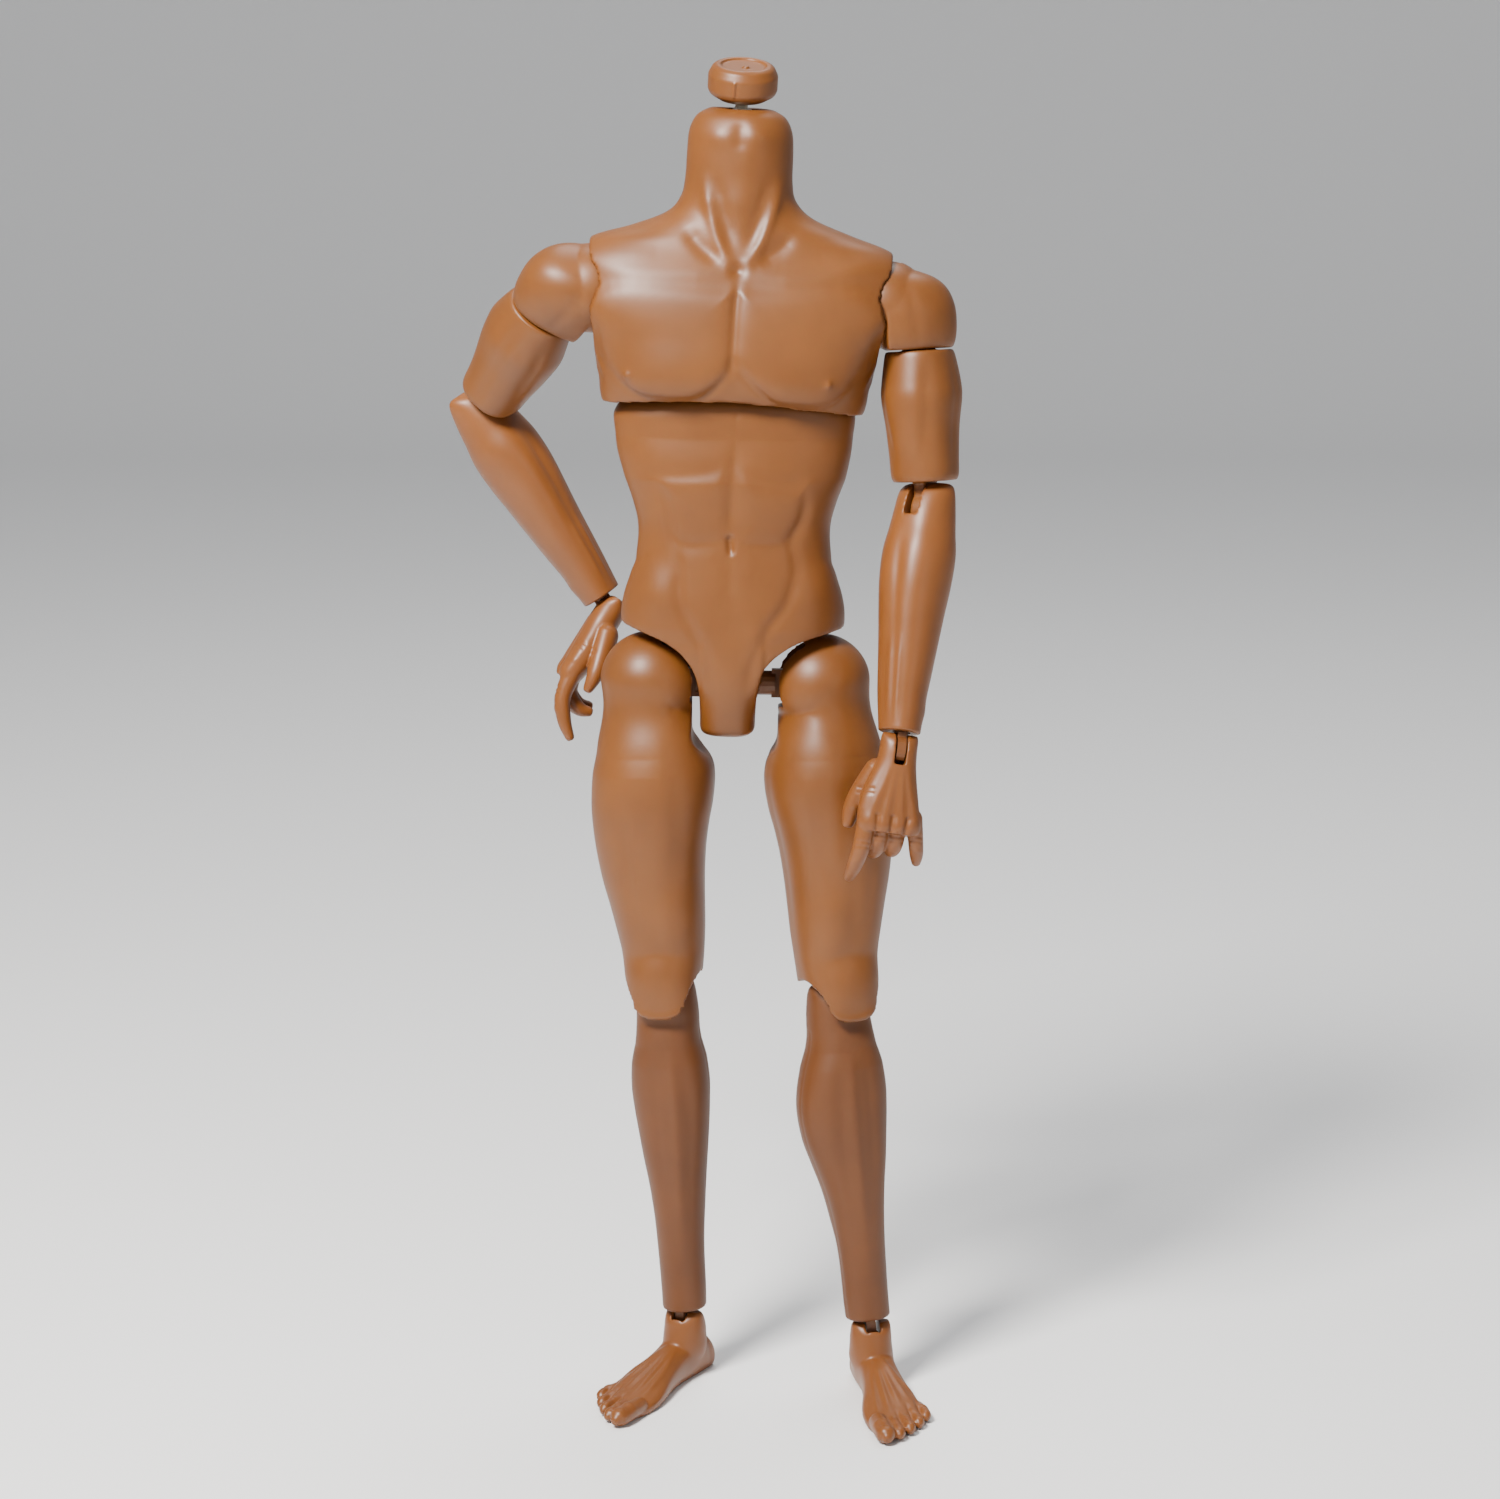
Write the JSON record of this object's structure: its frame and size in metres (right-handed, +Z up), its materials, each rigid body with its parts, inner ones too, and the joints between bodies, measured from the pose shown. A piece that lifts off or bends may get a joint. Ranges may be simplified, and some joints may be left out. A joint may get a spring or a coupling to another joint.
{
  "type": "jointed doll body without head",
  "caption": "Headless 1:6 male doll body in brown plastic, jointed at neck, waist, shoulders, elbows, wrists, hips, knees and ankles, standing with a hand on the hip.",
  "frame": {"origin": "bottom centre of the bounding box in the stored pose, with both soles on z = 0", "axes": "+Z up from the soles to the neck knob, -Y the way the chest faces, +X towards the doll's own left arm"},
  "size_m": [0.1088, 0.0756, 0.285],
  "materials": {
    "brown_body_plastic": "satin moulded plastic",
    "brown_limb_plastic": "semi-gloss moulded plastic",
    "brown_joint_plastic": "plain moulded plastic",
    "cream_peg_plastic": "plain moulded plastic",
    "pin_steel": "plain steel wire"
  },
  "bodies": {
    "pelvis": {"abdomen_front": "brown_body_plastic", "abdomen_back": "brown_body_plastic"},
    "torso_post": {"torso_post": "brown_joint_plastic"},
    "chest": {"chest_front": "brown_body_plastic", "chest_back": "brown_body_plastic"},
    "neck": {"neck_post": "cream_peg_plastic"},
    "head": {"head_knob": "brown_body_plastic", "neck_pin": "pin_steel"},
    "shoulder_right": {"shoulder_disc_right": "brown_joint_plastic"},
    "cap_right": {"shoulder_cap_right": "brown_body_plastic", "shoulder_pin_right": "pin_steel"},
    "arm_right": {"upper_arm_right": "brown_body_plastic"},
    "forearm_right": {"forearm_right": "brown_limb_plastic", "elbow_pin_right": "pin_steel"},
    "wrist_right": {"wrist_peg_right": "brown_joint_plastic"},
    "hand_right": {"hand_right": "brown_limb_plastic", "wrist_pin_right": "pin_steel"},
    "hip_right": {"hip_disc_right": "brown_joint_plastic"},
    "stem_right": {"hip_stem_right": "brown_joint_plastic", "hip_pin_right": "pin_steel"},
    "thigh_right": {"thigh_right": "brown_body_plastic"},
    "shin_right": {"shin_right": "brown_body_plastic", "knee_pin_right": "pin_steel"},
    "ankle_right": {"ankle_peg_right": "brown_joint_plastic"},
    "foot_right": {"foot_right": "brown_limb_plastic", "ankle_pin_right": "pin_steel"},
    "shoulder_left": {"shoulder_disc_left": "brown_joint_plastic"},
    "cap_left": {"shoulder_cap_left": "brown_body_plastic", "shoulder_pin_left": "pin_steel"},
    "arm_left": {"upper_arm_left": "brown_body_plastic"},
    "forearm_left": {"forearm_left": "brown_limb_plastic", "elbow_pin_left": "pin_steel"},
    "wrist_left": {"wrist_peg_left": "brown_joint_plastic"},
    "hand_left": {"hand_left": "brown_limb_plastic", "wrist_pin_left": "pin_steel"},
    "hip_left": {"hip_disc_left": "brown_joint_plastic"},
    "stem_left": {"hip_stem_left": "brown_joint_plastic", "hip_pin_left": "pin_steel"},
    "thigh_left": {"thigh_left": "brown_body_plastic"},
    "shin_left": {"shin_left": "brown_body_plastic", "knee_pin_left": "pin_steel"},
    "ankle_left": {"ankle_peg_left": "brown_joint_plastic"},
    "foot_left": {"foot_left": "brown_limb_plastic", "ankle_pin_left": "pin_steel"}
  },
  "joints": [
    {"name": "waist_bend", "type": "hinge", "parent": "pelvis", "child": "torso_post", "pos_m": [0.00608, 0.00851, 0.208], "axis": [0, 1, 0], "range_deg": [-2, 6]},
    {"name": "chest_turn", "type": "hinge", "parent": "torso_post", "child": "chest", "pos_m": [0.00608, 0.00851, 0.208], "axis": [0.0558, 0, 0.9984], "range_deg": [-3, 3]},
    {"name": "neck_turn", "type": "hinge", "parent": "chest", "child": "neck", "pos_m": [0.00792, 0.00951, 0.26599], "axis": [0.0558, 0, 0.9984], "range_deg": [-60, 60]},
    {"name": "head_nod", "type": "hinge", "parent": "neck", "child": "head", "pos_m": [0.00852, 0.00951, 0.28038], "axis": [0.9984, 0, -0.0558], "range_deg": [-28, 3]},
    {"name": "right_shoulder_swing", "type": "hinge", "parent": "chest", "child": "shoulder_right", "pos_m": [-0.02298, 0.00851, 0.23757], "axis": [-0.999, 0, -0.0436], "range_deg": [-70, 1]},
    {"name": "right_shoulder_lift", "type": "hinge", "parent": "shoulder_right", "child": "cap_right", "pos_m": [-0.02298, 0.00851, 0.23757], "axis": [-0.0269, 0.788, 0.6151], "range_deg": [-1, 18]},
    {"name": "right_upper_arm_turn", "type": "hinge", "parent": "cap_right", "child": "arm_right", "pos_m": [-0.03314, 0.01194, 0.23273], "axis": [-0.4418, 0.5426, -0.7144], "range_deg": [-60, 60]},
    {"name": "right_elbow", "type": "hinge", "parent": "arm_right", "child": "forearm_right", "pos_m": [-0.04812, 0.03033, 0.20852], "axis": [-0.5182, -0.8044, -0.2905], "range_deg": [-70, 1]},
    {"name": "right_hand_turn", "type": "hinge", "parent": "forearm_right", "child": "wrist_right", "pos_m": [-0.0225, 0.0279, 0.16955], "axis": [0.5486, -0.0521, -0.8345], "range_deg": [-8, 80]},
    {"name": "right_wrist_bend", "type": "hinge", "parent": "wrist_right", "child": "hand_right", "pos_m": [-0.02031, 0.02769, 0.16621], "axis": [-0.083, 0.9897, -0.1163], "range_deg": [-12, 20]},
    {"name": "right_hip_swing", "type": "hinge", "parent": "pelvis", "child": "hip_right", "pos_m": [-0.01116, 0.00851, 0.15427], "axis": [-0.9999, 0, 0.0157], "range_deg": [-30, 70]},
    {"name": "right_hip_spread", "type": "hinge", "parent": "hip_right", "child": "stem_right", "pos_m": [-0.01116, 0.00851, 0.15427], "axis": [-0.0007, 0.9991, -0.0427], "range_deg": [0, 17]},
    {"name": "right_thigh_turn", "type": "hinge", "parent": "stem_right", "child": "thigh_right", "pos_m": [-0.01116, 0.00851, 0.15427], "axis": [0.0446, -0.0426, -0.9981], "range_deg": [-13, 13]},
    {"name": "right_knee", "type": "hinge", "parent": "thigh_right", "child": "shin_right", "pos_m": [-0.00802, 0.00551, 0.08395], "axis": [0.9834, -0.1745, 0.0488], "range_deg": [-2, 80]},
    {"name": "right_foot_turn", "type": "hinge", "parent": "shin_right", "child": "ankle_right", "pos_m": [-0.00422, 0.00651, 0.01096], "axis": [0.052, 0.0137, -0.9986], "range_deg": [-20, 20]},
    {"name": "right_ankle_bend", "type": "hinge", "parent": "ankle_right", "child": "foot_right", "pos_m": [-0.00422, 0.00651, 0.011], "axis": [0.866, -0.5, 0], "range_deg": [-15, 15]},
    {"name": "left_shoulder_swing", "type": "hinge", "parent": "chest", "child": "shoulder_left", "pos_m": [0.03826, 0.00851, 0.23414], "axis": [-0.988, 0, 0.1547], "range_deg": [0, 80]},
    {"name": "left_shoulder_lift", "type": "hinge", "parent": "shoulder_left", "child": "cap_left", "pos_m": [0.03826, 0.00851, 0.23414], "axis": [0.0162, -0.9945, 0.1033], "range_deg": [-5, 34]},
    {"name": "left_upper_arm_turn", "type": "hinge", "parent": "cap_left", "child": "arm_left", "pos_m": [0.04525, 0.00765, 0.22473], "axis": [-0.0514, 0.1023, 0.9934], "range_deg": [-5, 60]},
    {"name": "left_elbow", "type": "hinge", "parent": "arm_left", "child": "forearm_left", "pos_m": [0.047, 0.00418, 0.19105], "axis": [-0.8173, 0.5673, -0.1007], "range_deg": [-3, 55]},
    {"name": "left_hand_turn", "type": "hinge", "parent": "forearm_left", "child": "wrist_left", "pos_m": [0.04146, -0.01155, 0.14743], "axis": [0.1186, 0.3368, 0.9341], "range_deg": [-80, 80]},
    {"name": "left_wrist_bend", "type": "hinge", "parent": "wrist_left", "child": "hand_left", "pos_m": [0.04098, -0.0129, 0.14369], "axis": [-0.9796, -0.114, 0.1655], "range_deg": [-7, 60]},
    {"name": "left_hip_swing", "type": "hinge", "parent": "pelvis", "child": "hip_left", "pos_m": [0.02493, 0.00851, 0.15371], "axis": [-0.9999, 0, 0.0157], "range_deg": [-60, 3]},
    {"name": "left_hip_spread", "type": "hinge", "parent": "hip_left", "child": "stem_left", "pos_m": [0.02493, 0.00851, 0.15371], "axis": [0.0012, -0.9969, 0.0785], "range_deg": [-8, 44]},
    {"name": "left_thigh_turn", "type": "hinge", "parent": "stem_left", "child": "thigh_left", "pos_m": [0.02493, 0.00851, 0.15371], "axis": [-0.0576, 0.0783, 0.9953], "range_deg": [-13, 13]},
    {"name": "left_knee", "type": "hinge", "parent": "thigh_left", "child": "shin_left", "pos_m": [0.02898, 0.00301, 0.08375], "axis": [0.909, 0.4114, 0.0673], "range_deg": [-2, 80]},
    {"name": "left_foot_turn", "type": "hinge", "parent": "shin_left", "child": "ankle_left", "pos_m": [0.03617, -0.00098, 0.01111], "axis": [-0.0983, 0.0546, 0.9937], "range_deg": [-20, 20]},
    {"name": "left_ankle_bend", "type": "hinge", "parent": "ankle_left", "child": "foot_left", "pos_m": [0.03618, -0.00099, 0.011], "axis": [0.9816, 0.1908, 0], "range_deg": [-15, 15]}
  ]
}
